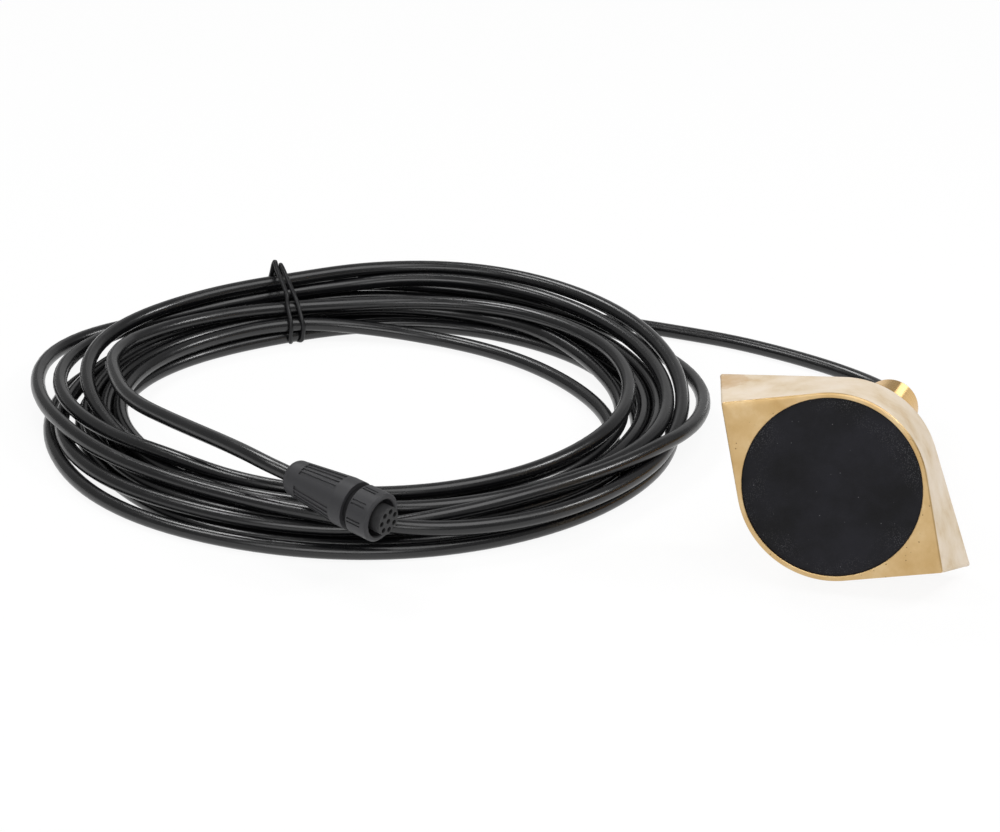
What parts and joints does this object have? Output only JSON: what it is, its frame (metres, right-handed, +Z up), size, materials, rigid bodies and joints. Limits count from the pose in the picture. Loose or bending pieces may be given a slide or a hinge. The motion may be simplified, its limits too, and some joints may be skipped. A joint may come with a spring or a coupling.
{
  "type": "sonar transducer",
  "caption": "Bronze through-hull sonar transducer: pointed oval body with a round black sounding face, long threaded stem, coiled black cable and a round screw plug.",
  "frame": {"origin": "on the floor, under the middle of the transducer's own box; the cable, its coil and its plug are left out of that box", "axes": "+Z up; +Y along the stem seen from above, from the sounding face to the cable; +X to the right of someone facing +Y"},
  "size_m": [0.4416, 0.3034, 0.0862],
  "materials": {
    "bronze": "sand-cast bronze with a ground face rim and a turned stem",
    "window": "cast urethane, matt",
    "ceramic": "fired and silvered",
    "cork": "pressed cork",
    "epoxy": "poured",
    "copper": "drawn and tinned wire",
    "jacket": "extruded jacket, half gloss",
    "boot": "moulded, matt",
    "tie": "coated wire",
    "plug": "moulded nylon, fine matt grain",
    "insert": "moulded, matt",
    "steel": "stamped spring steel",
    "contact": "gold-plated"
  },
  "bodies": {
    "transducer": {"housing": "bronze", "acoustic_window": "window", "piezo_disc": "ceramic", "isolation_ring": "cork", "backing_pad": "cork", "potting": "epoxy", "signal_lead": "copper", "return_lead": "copper", "stem_cable": "jacket", "stem_seal": "epoxy", "strain_relief": "boot", "cable_lead": "jacket", "cable_coil": "jacket", "cable_tail": "jacket", "coil_tie": "tie", "plug_grip": "plug", "cable_grommet": "boot", "plug_barrel": "plug", "plug_seal": "boot", "ring_clip": "steel", "contact_insert": "insert", "contacts": "contact", "core_wires": "copper"},
    "coupling_ring": {"coupling_ring": "plug"}
  },
  "joints": [
    {"name": "ring_turn", "type": "hinge", "parent": "transducer", "child": "coupling_ring", "pos_m": [-0.18777, -0.1195, 0.03089], "axis": [0.9163, -0.3889, -0.0958], "continuous": true}
  ]
}
